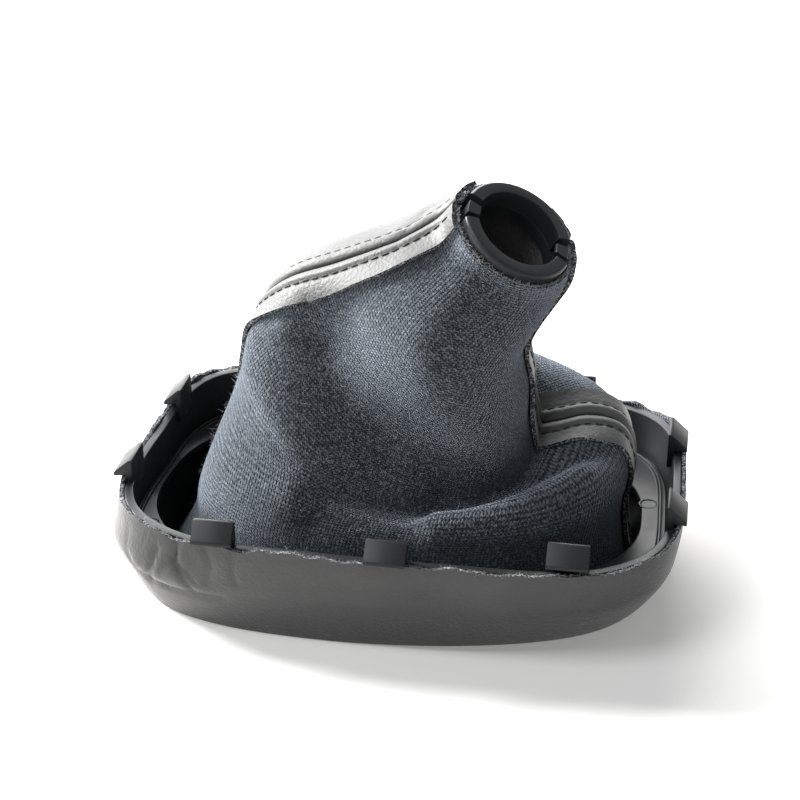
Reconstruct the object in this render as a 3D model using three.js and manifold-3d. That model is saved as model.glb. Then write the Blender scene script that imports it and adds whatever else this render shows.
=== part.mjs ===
// Gear lever gaiter, lying face down with its clips up and its sleeve pushed up inside out.
// Millimetres, +X along the length, +Y to the rear, +Z up, origin at the middle of the resting face.
import * as THREE from "three";
import { mergeVertices } from "three/addons/utils/BufferGeometryUtils.js";
import Module from "manifold-3d";

const wasm = await Module();
wasm.setup();
const { Manifold, Mesh } = wasm;

// Plan of the covered frame at the raw edge of its cover: a rounded rectangle, wider at the front.
const COVERED_LENGTH = 145;
const COVERED_WIDTH = 97;
const CORNER_SQUARENESS = 3.9;
const FRONT_FLARE_LEFT = 0.05;
const FRONT_FLARE_RIGHT = 0.02;

// Aperture that the sleeve passes through, rounder than the outside, with the flange between them.
const FLANGE_WIDTH_AT_ENDS = 10;
const FLANGE_WIDTH_AT_SIDES = 9.8;
const APERTURE_LENGTH = COVERED_LENGTH - 2 * FLANGE_WIDTH_AT_ENDS;
const APERTURE_WIDTH = COVERED_WIDTH - 2 * FLANGE_WIDTH_AT_SIDES;
const APERTURE_SQUARENESS = 2.5;

// Cloth-backed cover material and the room it has beside other pieces.
const COVER_THICKNESS = 1.2;
const CLEARANCE = 0.3;
const COVER_SPACE = COVER_THICKNESS + CLEARANCE;

// Frame moulding: an outer wall that leans in below a crease, with a flange inside it.
// The skirt below the wall's top leans to the left, its front right corner is drawn up from the
// table, and the wall stands a little higher at the rear left corner.
const WALL_TOP = 28.1;
const WALL_RISE_AT_ENDS = 4;
const SKIRT_LEAN = -3;
const CORNER_LIFT = 5;
const CORNER_LIFT_X = [-15, 60];
const CORNER_LIFT_Y = [10, -30];
const REAR_CORNER_RISE = 3;
const REAR_CORNER_X = [-20, -60];
const REAR_CORNER_Y = [0, 35];
const WALL_THICKNESS = 2.1;
const CREASE_HEIGHT = 14.5;
const RIM_INSET = 5.5;
const RIM_SQUARENESS = 3.3;
const RIM_WIDTH = 2.4;
const FLANGE_TOP = 17.5;
const FLANGE_THICKNESS = 2;
const RIB_HEIGHT = 0.8;
const RIB_THICKNESS = 0.7;
const CHANNEL_WIDTH = 1.3;
const CHANNEL_DEPTH = 0.7;
const CREASE_INSET = 0.4;
const FLANGE_ROOT_WIDTH = 1;
const FLANGE_ROOT_HEIGHT = 0.5;

// The cover on the frame: from its raw edge over the crease and round the rim into the sleeve.
const RAW_EDGE_BELOW_WALL_TOP = 0.5;
const COVER_LEAN = 0.2;
const RIM_EDGE_WIDTH = 1;
const RIM_EDGE_HEIGHT = 1.1;
const RIM_FACE_MARGIN = 0.2;
const RIM_FACE_BEYOND = 0.6;
const TURN_UP_BEYOND = 1.6;
const TURN_UP_HEIGHT = 1.7;

// Snap clips on the wall.
const CLIP_WIDTH = 10.3;
const CLIP_HEIGHT = 5.8;
const CLIP_THICKNESS = 1.8;
const CLIP_ROOT = 4;
const BARB_REACH = 3.4;
const BARB_DROP = 4.6;
const BARB_EDGE = 0.8;
const BARB_UNDERCUT = 0.3;
const CLIP_TIP_SHARE = 0.6;
const FRONT_CLIPS = [
  { along: -42.6, raised: 0 },
  { along: 1.4, raised: 0 },
  { along: 45.6, raised: 1.6 },
];
const REAR_CLIPS = [
  { along: -41, raised: 0 },
  { along: -1, raised: 0 },
  { along: 40, raised: 2.4 },
];
const END_CLIPS = [
  { along: -18, raised: 0 },
  { along: 18, raised: 0 },
];

// Collar in the mouth of the sleeve, leaning to the right and a little to the front.
const COLLAR_CENTRE = new THREE.Vector3(26.8, 1.6, 98.5);
const COLLAR_AXIS = new THREE.Vector3(0.49, -0.29, 0.82).normalize();
const COLLAR_DIAMETER = 30;
const COLLAR_BORE = 22.8;
const COLLAR_LENGTH = 9;
const COLLAR_STANDS_PROUD = 3;
const COLLAR_CHAMFER = 0.6;
const SLOT_WIDTH = 7.6;
const SLOT_DEPTH = 5.5;
const TONGUE_WIDTH = 3.8;
const TONGUE_BELOW_FACE = 0.4;
const NIB_REACH = 0.9;
const NIB_HEIGHT = 1.6;
const NIB_BELOW_FACE = 1.2;
const OVERCUT = 1;
const MOUTH_LENGTH = 7;
const MOUTH_FLARE = 1.8;

// Seams: the edge of each panel is folded back on itself and stitched down.
const LEFT_ALLOWANCE_WIDTH = 10.5;
const RIGHT_ALLOWANCE_WIDTH = 8.5;
const TOPSTITCH_FROM_GROOVE = 3.8;
const THREAD_RADIUS = 0.32;
const ALLOWANCES_START = 0.06;

// The sleeve between the frame and the collar, as closed rings, each given by the four places
// where it lies furthest left, right, front and rear: left and right as x, z, the others as y, z.
const SLEEVE_RINGS = [
  { left: [-58.2, 14.5], right: [56.5, 13.5], front: [-36.2, 13.5], rear: [36.4, 13.5] },
  { left: [-56, 24.5], right: [55.5, 24.5], front: [-36.5, 22.5], rear: [37, 24.5] },
  { left: [-52, 35.5], right: [57, 35.5], front: [-36, 29.5], rear: [36, 35.5] },
  { left: [-48, 45.5], right: [54, 44], front: [-33.5, 32.5], rear: [34, 45.5] },
  { left: [-45, 54], right: [46.5, 46], front: [-29.5, 32], rear: [31, 53.5] },
  { left: [-42, 62.5], right: [38.5, 43.5], front: [-26.5, 31.5], rear: [28.5, 59.5] },
  { left: [-38, 71.5], right: [33, 41.7], front: [-25.5, 36.5], rear: [26.5, 64.5] },
  { left: [-30, 80], right: [30.5, 48.5], front: [-25, 47.5], rear: [24.5, 70.5] },
  { left: [-17.5, 86.8], right: [30, 57.5], front: [-23.5, 59.5], rear: [22.5, 77.5] },
  { left: [-4, 93], right: [28.7, 68.5], front: [-21, 72.5], rear: [20, 85.5] },
];

// Folds of the sleeve: lines of places that its cover runs close to, with the fold's half width
// and how far it stands out; a negative height is a valley.
const SLEEVE_FOLDS = [
  {
    line: [[52, -9, 45], [40.4, -13.5, 39.9], [30.6, -15.3, 35], [21.2, -21.7, 31.8], [10, -31, 32.5]],
    width: 3.5,
    height: -1.5,
  },
  {
    line: [[-27, -15, 72], [-20, -20, 62], [-11, -24, 53], [-1, -25.5, 46], [9, -25, 40], [18, -24, 35]],
    width: 10,
    height: -4.5,
  },
  {
    line: [[-40.6, -8.6, 65.6], [-36, -14, 58], [-27, -22, 49], [-17, -27, 40], [-6, -31, 34], [6, -34, 31]],
    width: 8,
    height: 2.5,
  },
  {
    line: [[17, -14, 88], [9, -20, 76], [11, -22, 63], [16, -22, 53], [20, -22, 44]],
    width: 8,
    height: 2,
  },
];
const FOLDS_START = [0.05, 0.15];
const FOLDS_END = [0.98, 0.9];

// The sizes those places were read for: the rings follow the aperture at the frame and the collar
// at the mouth when these change.
const DRAWN_APERTURE_LENGTH = 125;
const DRAWN_APERTURE_WIDTH = 77.4;
const DRAWN_COLLAR_DIAMETER = 30;
const DRAWN_COLLAR_CENTRE = new THREE.Vector3(26.8, 1.6, 98.5);

const SLEEVE_SQUARENESS_LOW = 2.5;
const SLEEVE_SQUARENESS_HIGH = 2;

// Where the seams run, as degrees round the sleeve from the right end, from the frame to the collar.
const LEFT_SEAM_TURNS = [160, 160, 160, 160, 161, 162, 165, 170, 176, 181, 182, 180, 174];
const RIGHT_SEAM_TURNS = [9, 9, 8, 6, 4, 3, 3, 6, 11, 17, 22, 26, 28];

// Fineness of the model.
const PANEL_COLUMNS = 19;
const SLEEVE_ROWS = 21;
const FINE_STEPS = 180;
const THREAD_STEPS = 40;
const THREAD_SIDES = 5;
const COLLAR_SIDES = 48;
const WELD_DISTANCE = 1e-4;
const SHARPEST_MITRE = 0.6;

const degree = Math.PI / 180;

const outerPlan = {
  length: COVERED_LENGTH / 2,
  width: COVERED_WIDTH / 2,
  squareness: CORNER_SQUARENESS,
};

const rimPlan = { ...outerPlan, squareness: RIM_SQUARENESS };

const aperturePlan = {
  length: APERTURE_LENGTH / 2,
  width: APERTURE_WIDTH / 2,
  squareness: APERTURE_SQUARENESS,
};

// How far a rounded rectangle of half sides 1 reaches in a direction.
function reach(turn, squareness) {
  const across = Math.abs(Math.cos(turn)) ** squareness;
  const along = Math.abs(Math.sin(turn)) ** squareness;
  return (across + along) ** (-1 / squareness);
}

function softStep([low, high], value) {
  const t = Math.min(Math.max((value - low) / (high - low), 0), 1);
  return t * t * (3 - 2 * t);
}

// A place on a plan curve moved inwards, with the frame's lean, its rise and its lifted corner.
function planPlace(plan, inset, height, turn) {
  const out = reach(turn, plan.squareness);
  const across = Math.sin(turn) * out;
  const flare = 1 - (Math.cos(turn) > 0 ? FRONT_FLARE_RIGHT : FRONT_FLARE_LEFT) * across;
  const below = 1 - height / WALL_TOP;
  const x = (plan.length - inset) * Math.cos(turn) * out * flare + SKIRT_LEAN * below;
  const y = (plan.width - inset) * across;
  const lift = CORNER_LIFT * softStep(CORNER_LIFT_X, x) * softStep(CORNER_LIFT_Y, y) * below;
  return new THREE.Vector3(x, y, height + riseAt(x, y, height) + lift);
}

function riseAt(x, y, height) {
  const share = x / (COVERED_LENGTH / 2);
  const corner = REAR_CORNER_RISE * softStep(REAR_CORNER_X, x) * softStep(REAR_CORNER_Y, y);
  return ((WALL_RISE_AT_ENDS * share * share + corner) * height) / WALL_TOP;
}

// Closed geometry from points and triangles, with shared points.
function geometryOf(points, triangles) {
  const geometry = new THREE.BufferGeometry();
  geometry.setAttribute(
    "position",
    new THREE.Float32BufferAttribute(points.flatMap((p) => [p.x, p.y, p.z]), 3),
  );
  geometry.setIndex(triangles.flat());
  return geometry;
}

function solidOf(geometry) {
  const bare = geometry.clone();
  bare.deleteAttribute("normal");
  bare.deleteAttribute("uv");
  const merged = mergeVertices(bare, WELD_DISTANCE);
  return new Manifold(
    new Mesh({
      numProp: 3,
      vertProperties: merged.attributes.position.array,
      triVerts: new Uint32Array(merged.index.array),
    }),
  );
}

function geometryOfSolid(solid) {
  const mesh = solid.getMesh();
  const geometry = new THREE.BufferGeometry();
  geometry.setAttribute("position", new THREE.BufferAttribute(mesh.vertProperties, 3));
  geometry.setIndex(new THREE.BufferAttribute(mesh.triVerts, 1));
  geometry.computeVertexNormals();
  return geometry;
}

// Shares of the way from seam to seam at which the frame and its cover have a corner: close to each
// seam at the free edges and the middles of the allowances, and evenly between.
function turnShares() {
  const distances = [LEFT_ALLOWANCE_WIDTH / 2, LEFT_ALLOWANCE_WIDTH];
  const near = distances.map((d) => Math.asin(d / outerPlan.width) / Math.PI);
  const step = (1 - 2 * near[1]) / PANEL_COLUMNS;
  const between = Array.from({ length: PANEL_COLUMNS - 1 }, (_, k) => near[1] + step * (k + 1));
  return [0, ...near, ...between, 1 - near[1], 1 - near[0]];
}

// The same as turns round the plan: from the left seam round the front to the right one, and on
// round the rear.
function planTurns() {
  const left = LEFT_SEAM_TURNS[0] * degree;
  const right = RIGHT_SEAM_TURNS[0] * degree;
  const shares = turnShares();
  const roundFront = shares.map((share) => left + (right + 2 * Math.PI - left) * share);
  const roundRear = shares.map((share) => right + (left - right) * share);
  return [...roundFront, ...roundRear];
}

// A closed section carried once round the plan.
function ringGeometry(section) {
  const points = [];
  const triangles = [];
  const count = section.length;
  const turns = planTurns();
  turns.forEach((turn) => section.forEach((p) => points.push(planPlace(p.plan, p.inset, p.height, turn))));
  for (let step = 0; step < turns.length; step++) {
    const here = step * count;
    const next = ((step + 1) % turns.length) * count;
    for (let k = 0; k < count; k++) {
      const m = (k + 1) % count;
      triangles.push([here + k, here + m, next + k]);
      triangles.push([here + m, next + m, next + k]);
    }
  }
  return geometryOf(points, triangles);
}

const half = COVER_THICKNESS / 2;
const rim = RIM_INSET + COVER_SPACE;

// Frame moulding.
function frameSection() {
  const outside = COVER_SPACE;
  const inside = outside + WALL_THICKNESS;
  const rib = inside + CHANNEL_WIDTH;
  const at = (inset, height) => ({ plan: outerPlan, inset, height });
  const edge = (height) => ({ plan: aperturePlan, inset: 0, height });
  const foot = (inset) => ({ plan: rimPlan, inset, height: COVER_SPACE });
  return [
    foot(rim),
    foot(rim + RIM_WIDTH),
    at(inside + FLANGE_ROOT_WIDTH, FLANGE_TOP - FLANGE_THICKNESS - FLANGE_ROOT_HEIGHT),
    at(inside + CHANNEL_WIDTH + FLANGE_ROOT_WIDTH, FLANGE_TOP - FLANGE_THICKNESS),
    edge(FLANGE_TOP - FLANGE_THICKNESS),
    edge(FLANGE_TOP),
    at(rib + RIB_THICKNESS, FLANGE_TOP),
    at(rib + RIB_THICKNESS, FLANGE_TOP + RIB_HEIGHT),
    at(rib, FLANGE_TOP + RIB_HEIGHT),
    at(rib, FLANGE_TOP - CHANNEL_DEPTH),
    at(inside, FLANGE_TOP - CHANNEL_DEPTH),
    at(inside, WALL_TOP),
    at(outside, WALL_TOP),
    at(outside + CREASE_INSET, CREASE_HEIGHT),
  ];
}

// One snap clip: a flat stem that rises from the wall, with a wedge-shaped barb to the outside.
function clipSolid(clip, outwards) {
  const top = CLIP_HEIGHT;
  const lip = top - BARB_DROP;
  const barb = lip - BARB_UNDERCUT;
  const shape = new THREE.Shape();
  shape.moveTo(0, -CLIP_ROOT);
  shape.lineTo(0, lip);
  shape.lineTo(BARB_REACH, barb);
  shape.lineTo(BARB_REACH, barb + BARB_EDGE);
  shape.lineTo(-CLIP_THICKNESS * CLIP_TIP_SHARE, top);
  shape.lineTo(-CLIP_THICKNESS, top);
  shape.lineTo(-CLIP_THICKNESS, -CLIP_ROOT);
  shape.closePath();
  const clipBody = new THREE.ExtrudeGeometry(shape, { depth: CLIP_WIDTH, bevelEnabled: false });
  clipBody.translate(0, 0, -CLIP_WIDTH / 2);
  // The shape's x points outwards and its y up, and the extrusion runs along the wall.
  const placed = new THREE.Matrix4();
  const side = new THREE.Vector3().crossVectors(outwards, new THREE.Vector3(0, 0, 1));
  placed.makeBasis(outwards, new THREE.Vector3(0, 0, 1), side);
  const feet = [0, -CLIP_WIDTH / 2, CLIP_WIDTH / 2].flatMap((d) => [
    wallPlace(clip.along + d, WALL_TOP, outwards),
    wallPlace(clip.along + d, WALL_TOP - CLIP_ROOT, outwards),
  ]);
  const foot = feet[0].clone();
  for (const other of feet) {
    const beyond = foot.clone().sub(other).dot(outwards);
    if (beyond > 0) foot.addScaledVector(outwards, -beyond);
  }
  const height = WALL_TOP + riseAt(foot.x, foot.y, WALL_TOP) + clip.raised;
  placed.setPosition(foot.x, foot.y, height);
  clipBody.applyMatrix4(placed);
  return solidOf(clipBody);
}

// The point of the wall beside a clip at a height, where the stem lies in the middle of the wall.
function wallPlace(along, height, outwards) {
  const inset = COVER_SPACE + (WALL_THICKNESS - CLIP_THICKNESS) / 2;
  let best = null;
  for (let step = 0; step < FINE_STEPS; step++) {
    const p = planPlace(outerPlan, inset, height, (step / FINE_STEPS) * 2 * Math.PI);
    const side = outwards.x !== 0 ? p.y : p.x;
    const facing = p.x * outwards.x + p.y * outwards.y;
    if (facing > 0 && (!best || Math.abs(side - along) < best.miss)) {
      best = { miss: Math.abs(side - along), p };
    }
  }
  return outwards.x !== 0
    ? new THREE.Vector3(best.p.x, along, 0)
    : new THREE.Vector3(along, best.p.y, 0);
}

function frameGeometry() {
  let solid = solidOf(ringGeometry(frameSection()));
  const sides = [
    { clips: FRONT_CLIPS, outwards: new THREE.Vector3(0, -1, 0) },
    { clips: REAR_CLIPS, outwards: new THREE.Vector3(0, 1, 0) },
    { clips: END_CLIPS, outwards: new THREE.Vector3(-1, 0, 0) },
    { clips: END_CLIPS, outwards: new THREE.Vector3(1, 0, 0) },
  ];
  sides.forEach(({ clips, outwards }) => {
    clips.forEach((clip) => {
      solid = solid.add(clipSolid(clip, outwards));
    });
  });
  return geometryOfSolid(solid);
}

// Directions of the collar: to the right across its face, and to the rear.
const collarRight = new THREE.Vector3(1, 0, 0).addScaledVector(COLLAR_AXIS, -COLLAR_AXIS.x).normalize();
const collarRear = new THREE.Vector3().crossVectors(COLLAR_AXIS, collarRight);

function collarPlace(radius, below, turn) {
  return COLLAR_CENTRE.clone()
    .addScaledVector(COLLAR_AXIS, -below)
    .addScaledVector(collarRight, radius * Math.cos(turn))
    .addScaledVector(collarRear, radius * Math.sin(turn));
}

// Collar: a short ring with two slots, each holding a spring tongue with a nib.
function collarGeometry() {
  const outer = COLLAR_DIAMETER / 2;
  const inner = COLLAR_BORE / 2;
  const profile = [
    [inner, -COLLAR_LENGTH],
    [outer, -COLLAR_LENGTH],
    [outer, -COLLAR_CHAMFER],
    [outer - COLLAR_CHAMFER, 0],
    [inner, 0],
    [inner, -COLLAR_LENGTH],
  ].map(([r, h]) => new THREE.Vector2(r, h));
  let solid = solidOf(new THREE.LatheGeometry(profile, COLLAR_SIDES));
  for (const sideSign of [-1, 1]) {
    const slot = new THREE.BoxGeometry(outer, SLOT_DEPTH + OVERCUT, SLOT_WIDTH);
    slot.translate(sideSign * outer, (OVERCUT - SLOT_DEPTH) / 2, 0);
    solid = solid.subtract(solidOf(slot));
    const tongueReach = outer - inner - COLLAR_CHAMFER;
    const tongue = new THREE.BoxGeometry(tongueReach, SLOT_DEPTH, TONGUE_WIDTH);
    tongue.translate(sideSign * (inner + tongueReach / 2), -SLOT_DEPTH / 2 - TONGUE_BELOW_FACE, 0);
    solid = solid.add(solidOf(tongue));
    const nib = new THREE.BoxGeometry(NIB_REACH * 2, NIB_HEIGHT, TONGUE_WIDTH);
    nib.translate(sideSign * inner, -NIB_BELOW_FACE, 0);
    solid = solid.add(solidOf(nib));
  }
  const geometry = geometryOfSolid(solid);
  const placed = new THREE.Matrix4().makeBasis(
    collarRight,
    COLLAR_AXIS,
    new THREE.Vector3().crossVectors(collarRight, COLLAR_AXIS),
  );
  placed.setPosition(COLLAR_CENTRE);
  geometry.applyMatrix4(placed);
  return geometry;
}

// The cover's middle surface, row by row from its raw edge on the wall to the mouth of the sleeve.
const wrapRows = [
  { inset: half, height: WALL_TOP - RAW_EDGE_BELOW_WALL_TOP },
  { inset: half + COVER_LEAN / 2, height: (WALL_TOP + CREASE_HEIGHT) / 2 },
  { inset: half + COVER_LEAN, height: CREASE_HEIGHT + COVER_LEAN },
  { inset: rim - RIM_EDGE_WIDTH, height: RIM_EDGE_HEIGHT, plan: rimPlan },
  { inset: rim - RIM_FACE_MARGIN, height: half, plan: rimPlan },
  { inset: rim + RIM_WIDTH + RIM_FACE_BEYOND, height: half, plan: rimPlan },
  { inset: rim + RIM_WIDTH + TURN_UP_BEYOND, height: TURN_UP_HEIGHT, plan: rimPlan },
];

// One ring of the sleeve, as a function of the turn round it.
function ringOfPlaces(ring, squareness, share) {
  const moved = new THREE.Vector3().subVectors(COLLAR_CENTRE, DRAWN_COLLAR_CENTRE).multiplyScalar(share);
  const wider = share * (COLLAR_DIAMETER - DRAWN_COLLAR_DIAMETER);
  const longer = wider + (1 - share) * (APERTURE_LENGTH - DRAWN_APERTURE_LENGTH);
  const deeper = wider + (1 - share) * (APERTURE_WIDTH - DRAWN_APERTURE_WIDTH);
  const middle = (ring.left[0] + ring.right[0]) / 2 + moved.x;
  const length = (ring.right[0] - ring.left[0] + longer) / 2;
  const centre = (ring.front[0] + ring.rear[0]) / 2 + moved.y;
  const width = (ring.rear[0] - ring.front[0] + deeper) / 2;
  const ends = (ring.left[1] + ring.right[1]) / 2;
  const sides = (ring.front[1] + ring.rear[1]) / 2;
  return (turn) => {
    const out = reach(turn, squareness);
    const c = Math.cos(turn);
    const s = Math.sin(turn);
    const level = (ends + sides) / 2 + ((ends - sides) / 2) * Math.cos(2 * turn);
    const slope = ((ring.right[1] - ring.left[1]) / 2) * c + ((ring.rear[1] - ring.front[1]) / 2) * s;
    const height = level + slope + moved.z;
    return new THREE.Vector3(middle + length * c * out, centre + width * s * out, height);
  };
}

const mouthRadius = COLLAR_DIAMETER / 2 + COVER_SPACE - half;
const lastWrap = wrapRows[wrapRows.length - 1];
const sleeveRings = [
  (turn) => planPlace(rimPlan, lastWrap.inset, lastWrap.height, turn),
  ...SLEEVE_RINGS.map((ring, k) => {
    const share = k / (SLEEVE_RINGS.length - 1);
    const squareness = SLEEVE_SQUARENESS_LOW + (SLEEVE_SQUARENESS_HIGH - SLEEVE_SQUARENESS_LOW) * share;
    return ringOfPlaces(ring, squareness, share);
  }),
  (turn) => collarPlace(mouthRadius + MOUTH_FLARE, COLLAR_STANDS_PROUD + MOUTH_LENGTH, turn),
  (turn) => collarPlace(mouthRadius, COLLAR_STANDS_PROUD, turn),
];

// A smooth curve through values, read at a share of its length.
function smooth(values, share) {
  const scaled = share * (values.length - 1);
  const k = Math.min(Math.floor(scaled), values.length - 2);
  const t = scaled - k;
  const at = (i) => values[Math.max(0, Math.min(values.length - 1, i))];
  const [a, b, c, d] = [at(k - 1), at(k), at(k + 1), at(k + 2)];
  return b + 0.5 * t * (c - a + t * (2 * a - 5 * b + 4 * c - d + t * (3 * (b - c) + d - a)));
}

function sleevePlace(share, turn) {
  const places = sleeveRings.map((ring) => ring(turn));
  return new THREE.Vector3(
    smooth(places.map((p) => p.x), share),
    smooth(places.map((p) => p.y), share),
    smooth(places.map((p) => p.z), share),
  );
}

// All rows of the cover: share is null on the frame, and runs from 0 to 1 up the sleeve.
const coverRows = [
  ...wrapRows.slice(0, -1).map((row) => ({
    share: null,
    place: (turn) => planPlace(row.plan ?? outerPlan, row.inset, row.height, turn),
  })),
  ...Array.from({ length: SLEEVE_ROWS + 1 }, (_, k) => ({
    share: k / SLEEVE_ROWS,
    place: (turn) => sleevePlace(k / SLEEVE_ROWS, turn),
  })),
];

// The way along a row from the left seam to the right one, round the front or round the rear.
function wayAlong(row, side) {
  const share = row.share ?? 0;
  const from = smooth(LEFT_SEAM_TURNS, share) * degree;
  const to = smooth(RIGHT_SEAM_TURNS, share) * degree + (side === "front" ? 2 * Math.PI : 0);
  const turns = Array.from({ length: FINE_STEPS + 1 }, (_, k) => from + ((to - from) * k) / FINE_STEPS);
  const points = turns.map(row.place);
  const lengths = [0];
  for (let k = 1; k < points.length; k++) {
    lengths.push(lengths[k - 1] + points[k].distanceTo(points[k - 1]));
  }
  const total = lengths[FINE_STEPS];
  const turnAt = (distance) => {
    let k = 1;
    while (k < FINE_STEPS && lengths[k] < distance) k++;
    const part = (distance - lengths[k - 1]) / (lengths[k] - lengths[k - 1]);
    return turns[k - 1] + (turns[k] - turns[k - 1]) * part;
  };
  return { from, to, total, turnAt };
}

const foldRadius = COVER_SPACE / 2;
const foldReach = foldRadius + half + CLEARANCE / 2;
const seamReach = CLEARANCE;
const FOLD_ANGLES = [45, 90, 135];

// How far a point is from a line of places.
function distanceFrom(point, line) {
  const places = line.map((p) => new THREE.Vector3(...p));
  const nearest = new THREE.Vector3();
  return Math.min(
    ...places.slice(1).map((place, k) => {
      new THREE.Line3(places[k], place).closestPointToPoint(point, true, nearest);
      return nearest.distanceTo(point);
    }),
  );
}

// The middle surface of one panel between its seams, as rows of points, with its folds.
function panelPoints(side) {
  const plain = plainPanelPoints(side);
  const normals = panelNormals(plain, side);
  return plain.map((row, r) => {
    const share = coverRows[r].share ?? 0;
    const amount = softStep(FOLDS_START, share) * softStep(FOLDS_END, share);
    return row.map((point, c) => {
      const pushes = SLEEVE_FOLDS.map((fold) => {
        const away = distanceFrom(point, fold.line) / fold.width;
        return fold.height * Math.exp(-away * away);
      });
      const push = pushes.reduce((sum, value) => sum + value, 0);
      return point.clone().addScaledVector(normals[r][c], push * amount);
    });
  });
}

function plainPanelPoints(side) {
  return coverRows.map((row) => {
    const way = wayAlong(row, side);
    const edge = row.share > ALLOWANCES_START ? foldReach : seamReach;
    if (row.share === null) {
      const shares = turnShares().slice(1);
      const turns = [way.turnAt(edge), ...shares.map((s) => way.from + (way.to - way.from) * s)];
      return [...turns, way.turnAt(way.total - edge)].map(row.place);
    }
    const near = [edge, LEFT_ALLOWANCE_WIDTH / 2, LEFT_ALLOWANCE_WIDTH].map(way.turnAt);
    const farDistances = [RIGHT_ALLOWANCE_WIDTH, RIGHT_ALLOWANCE_WIDTH / 2, edge];
    const far = farDistances.map((d) => way.turnAt(way.total - d));
    const step = (far[0] - near[2]) / PANEL_COLUMNS;
    const between = Array.from({ length: PANEL_COLUMNS - 1 }, (_, k) => near[2] + step * (k + 1));
    return [...near, ...between, ...far].map(row.place);
  });
}

// Outward directions at the points of a panel, lengthened at creases to keep the sheet's thickness.
function panelNormals(points, side) {
  const sign = side === "front" ? 1 : -1;
  return points.map((row, r) =>
    row.map((point, c) => {
      const across = new THREE.Vector3().subVectors(
        row[Math.min(c + 1, row.length - 1)],
        row[Math.max(c - 1, 0)],
      );
      const faces = [];
      for (const other of [r - 1, r]) {
        if (other < 0 || other + 1 >= points.length) continue;
        const up = new THREE.Vector3().subVectors(points[other + 1][c], points[other][c]);
        faces.push(new THREE.Vector3().crossVectors(across, up).multiplyScalar(sign).normalize());
      }
      const normal = faces.reduce((sum, face) => sum.add(face), new THREE.Vector3()).normalize();
      return normal.multiplyScalar(1 / Math.max(normal.dot(faces[0]), SHARPEST_MITRE));
    }),
  );
}

// A sheet of even thickness from a grid of middle points, with cells left out where a cell is false.
function sheetGeometry(grid, normals, holds) {
  const rows = grid.length;
  const columns = grid[0].length;
  const points = [];
  for (const off of [half, -half]) {
    grid.forEach((row, r) => {
      row.forEach((p, c) => points.push(p.clone().addScaledVector(normals[r][c], off)));
    });
  }
  const top = (r, c) => r * columns + c;
  const under = (r, c) => rows * columns + top(r, c);
  const triangles = [];
  const quad = (a, b, c, d) => triangles.push([a, b, c], [a, c, d]);
  const cell = (r, c) => r >= 0 && c >= 0 && r < rows - 1 && c < columns - 1 && holds(r, c);
  for (let r = 0; r < rows - 1; r++) {
    for (let c = 0; c < columns - 1; c++) {
      if (!cell(r, c)) continue;
      quad(top(r, c), top(r, c + 1), top(r + 1, c + 1), top(r + 1, c));
      quad(under(r, c), under(r + 1, c), under(r + 1, c + 1), under(r, c + 1));
      if (!cell(r - 1, c)) quad(top(r, c), under(r, c), under(r, c + 1), top(r, c + 1));
      if (!cell(r + 1, c)) {
        quad(top(r + 1, c), top(r + 1, c + 1), under(r + 1, c + 1), under(r + 1, c));
      }
      if (!cell(r, c - 1)) quad(top(r, c), top(r + 1, c), under(r + 1, c), under(r, c));
      if (!cell(r, c + 1)) {
        quad(top(r, c + 1), under(r, c + 1), under(r + 1, c + 1), top(r + 1, c + 1));
      }
    }
  }
  return geometryOf(points, triangles);
}

// One panel: its columns run from the free edge of one allowance, through its fold, across the
// panel, through the other fold and back over the panel to the other free edge.
function panelGeometry({ points, normals }) {
  const last = points[0].length - 1;
  const grid = [];
  const directions = [];
  points.forEach((row, r) => {
    const turned = (edge, next) => {
      const out = normals[r][edge].clone();
      const away = new THREE.Vector3().subVectors(row[edge], row[next]).normalize();
      const hub = row[edge].clone().addScaledVector(out, foldRadius);
      const folds = FOLD_ANGLES.map((angle) => {
        const spoke = out
          .clone()
          .multiplyScalar(-Math.cos(angle * degree))
          .addScaledVector(away, Math.sin(angle * degree));
        return { place: hub.clone().addScaledVector(spoke, foldRadius), normal: spoke.negate() };
      });
      const toward = next > edge ? 1 : -1;
      const laid = [0, 1, 2].map((k) => {
        const under = normals[r][edge + k * toward];
        return {
          place: row[edge + k * toward].clone().addScaledVector(under, 2 * foldRadius),
          normal: under.clone().negate(),
        };
      });
      return [...folds, ...laid];
    };
    const left = turned(0, 1).reverse();
    const right = turned(last, last - 1);
    const panel = row.map((place, c) => ({ place, normal: normals[r][c] }));
    const all = [...left, ...panel, ...right];
    grid.push(all.map((p) => p.place));
    directions.push(all.map((p) => p.normal));
  });
  const folded = FOLD_ANGLES.length + 3;
  const holds = (r, c) => {
    const onPanel = c >= folded && c < folded + last;
    return onPanel || coverRows[r].share > ALLOWANCES_START;
  };
  const geometry = sheetGeometry(grid, directions, holds);
  return geometryOfSolid(outwards(solidOf(geometry), geometry));
}

// The same solid with its faces turned to the outside.
function outwards(solid, geometry) {
  if (solid.volume() > 0) return solid;
  const index = geometry.index.array;
  for (let k = 0; k < index.length; k += 3) {
    [index[k + 1], index[k + 2]] = [index[k + 2], index[k + 1]];
  }
  return solidOf(geometry);
}

// A thread through places, as a tube of few sides.
function threadGeometry(places) {
  const path = new THREE.CatmullRomCurve3(places);
  const section = new THREE.Shape();
  for (let k = 0; k < THREAD_SIDES; k++) {
    const angle = (k / THREAD_SIDES) * 2 * Math.PI;
    const [x, y] = [THREAD_RADIUS * Math.cos(angle), THREAD_RADIUS * Math.sin(angle)];
    if (k === 0) section.moveTo(x, y);
    else section.lineTo(x, y);
  }
  section.closePath();
  return new THREE.ExtrudeGeometry(section, { steps: THREAD_STEPS, extrudePath: path });
}

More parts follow.
